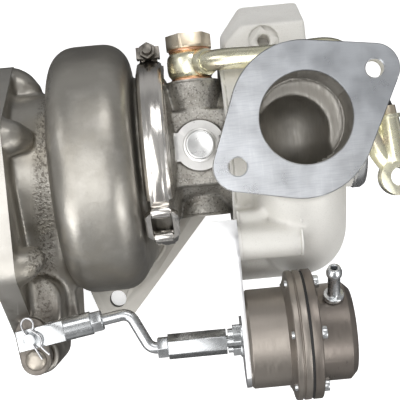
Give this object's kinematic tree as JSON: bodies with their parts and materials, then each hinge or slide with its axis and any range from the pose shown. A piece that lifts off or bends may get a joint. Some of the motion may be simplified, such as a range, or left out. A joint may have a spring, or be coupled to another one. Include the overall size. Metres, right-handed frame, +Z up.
{
  "type": "turbocharger",
  "caption": "Exhaust-driven turbocharger with scroll housings, V-band joint, water-cooled bearing housing, upward outlet flange, wastegate, push rod and pressure actuator.",
  "frame": {"origin": "centre of the turbine inlet's bore at the flange's lower face, on which the part stands", "axes": "+X along the shaft from turbine to compressor, +Z up, out of the inlet flange; Y to the side of the wastegate linkage is -Y"},
  "size_m": [0.2205, 0.2164, 0.1573],
  "materials": {
    "turbine_iron": "satin cast, nickel grey brown",
    "bearing_iron": "rough cast, dark",
    "lever_iron": "satin cast",
    "cast_aluminium": "fine sand cast, light grey",
    "machined_aluminium": "turned",
    "stainless": "polished stainless",
    "heat_steel": "machined heat-resisting steel",
    "ground_steel": "ground",
    "black_steel": "black oxide",
    "spring_steel": "drawn wire",
    "zinc_steel": "bright zinc",
    "white_zinc": "pale zinc sheet",
    "yellow_zinc": "yellow zinc with an iridescent tint",
    "tan_zinc": "yellow zinc, tan",
    "copper": "copper",
    "bronze": "bronze",
    "weld_metal": "ground weld",
    "anodised": "brown-grey anodised, turned",
    "seal_rubber": "nitrile",
    "black_rubber": "moulded",
    "diaphragm_rubber": "fabric-reinforced silicone"
  },
  "bodies": {
    "core": {"turbine_housing": "turbine_iron", "wastegate_bushing": "heat_steel", "bearing_housing": "bearing_iron", "compressor_housing": "cast_aluminium", "compressor_backplate": "machined_aluminium", "backplate_screws": "black_steel", "backplate_oring": "seal_rubber", "compressor_circlip": "black_steel", "heat_shroud": "stainless", "thrust_bearing": "bronze", "oil_deflector": "zinc_steel", "bearing_circlips": "black_steel", "turbine_seal_ring": "heat_steel", "compressor_seal_ring": "heat_steel", "oil_inlet_plug": "machined_aluminium", "oil_plug_washer": "machined_aluminium", "vband_retainers": "stainless", "vband_strap_upper": "stainless", "vband_strap_lower": "stainless", "vband_link": "stainless", "vband_tbolt": "heat_steel", "vband_trunnion": "stainless", "vband_nut": "heat_steel", "coolant_pipe": "yellow_zinc", "banjo_bolt": "tan_zinc", "banjo_washers": "copper", "vent_screw": "tan_zinc", "vent_cap": "black_rubber", "actuator_body": "anodised", "actuator_cover": "anodised", "actuator_screws": "zinc_steel", "hose_nipple": "zinc_steel", "actuator_diaphragm": "diaphragm_rubber", "actuator_spring": "spring_steel", "actuator_bracket": "white_zinc", "bracket_bolts": "zinc_steel", "actuator_nuts": "zinc_steel", "actuator_studs": "zinc_steel"},
    "rotor": {"turbine_shaft_wheel": "heat_steel", "compressor_wheel": "machined_aluminium", "shaft_nut": "black_steel", "thrust_collar": "ground_steel", "oil_flinger": "ground_steel"},
    "turbine_floating_bush": {"turbine_bush": "bronze"},
    "compressor_floating_bush": {"compressor_bush": "bronze"},
    "wastegate": {"wastegate_shaft": "heat_steel", "wastegate_flapper": "heat_steel", "flapper_washer": "heat_steel", "wastegate_lever": "lever_iron", "lever_weld": "weld_metal"},
    "piston": {"actuator_piston": "zinc_steel"},
    "push_rod": {"actuator_rod": "zinc_steel", "adjuster_sleeve": "zinc_steel", "jam_nuts": "zinc_steel", "clevis": "zinc_steel", "clevis_pin": "zinc_steel", "clevis_clip": "spring_steel"}
  },
  "joints": [
    {"name": "rotor_spin", "type": "hinge", "parent": "core", "child": "rotor", "pos_m": [0.05, 0.042, 0.082], "axis": [1, 0, 0], "continuous": true},
    {"name": "turbine_bush_spin", "type": "hinge", "parent": "core", "child": "turbine_floating_bush", "pos_m": [0.04225, 0.042, 0.082], "axis": [1, 0, 0], "continuous": true},
    {"name": "compressor_bush_spin", "type": "hinge", "parent": "core", "child": "compressor_floating_bush", "pos_m": [0.05475, 0.042, 0.082], "axis": [1, 0, 0], "continuous": true},
    {"name": "wastegate_swing", "type": "hinge", "parent": "core", "child": "wastegate", "pos_m": [-0.043, -0.0606, 0.082], "axis": [0, 0, 1], "range_deg": [0, 18]},
    {"name": "rod_slide", "type": "slide", "parent": "core", "child": "piston", "axis": [1, 0, 0], "range_m": [-0.00344, 0], "stiffness_N_per_m": 6000, "springref_m": 0.003, "deforming": ["actuator_spring"]},
    {"name": "rod_rock", "type": "hinge", "parent": "piston", "child": "push_rod", "pos_m": [0.0892, -0.0605, 0.124], "axis": [0, 0, 1], "range_deg": [0, 0.5]}
  ],
  "couplings": [
    {"joint": "turbine_bush_spin", "follows": "rotor_spin", "ratio": 0.3},
    {"joint": "compressor_bush_spin", "follows": "rotor_spin", "ratio": 0.3},
    {"joint": "wastegate_swing", "follows": "rod_slide", "rad_per_m": -91.2},
    {"joint": "rod_rock", "follows": "rod_slide", "rad_per_m": -2.042}
  ]
}
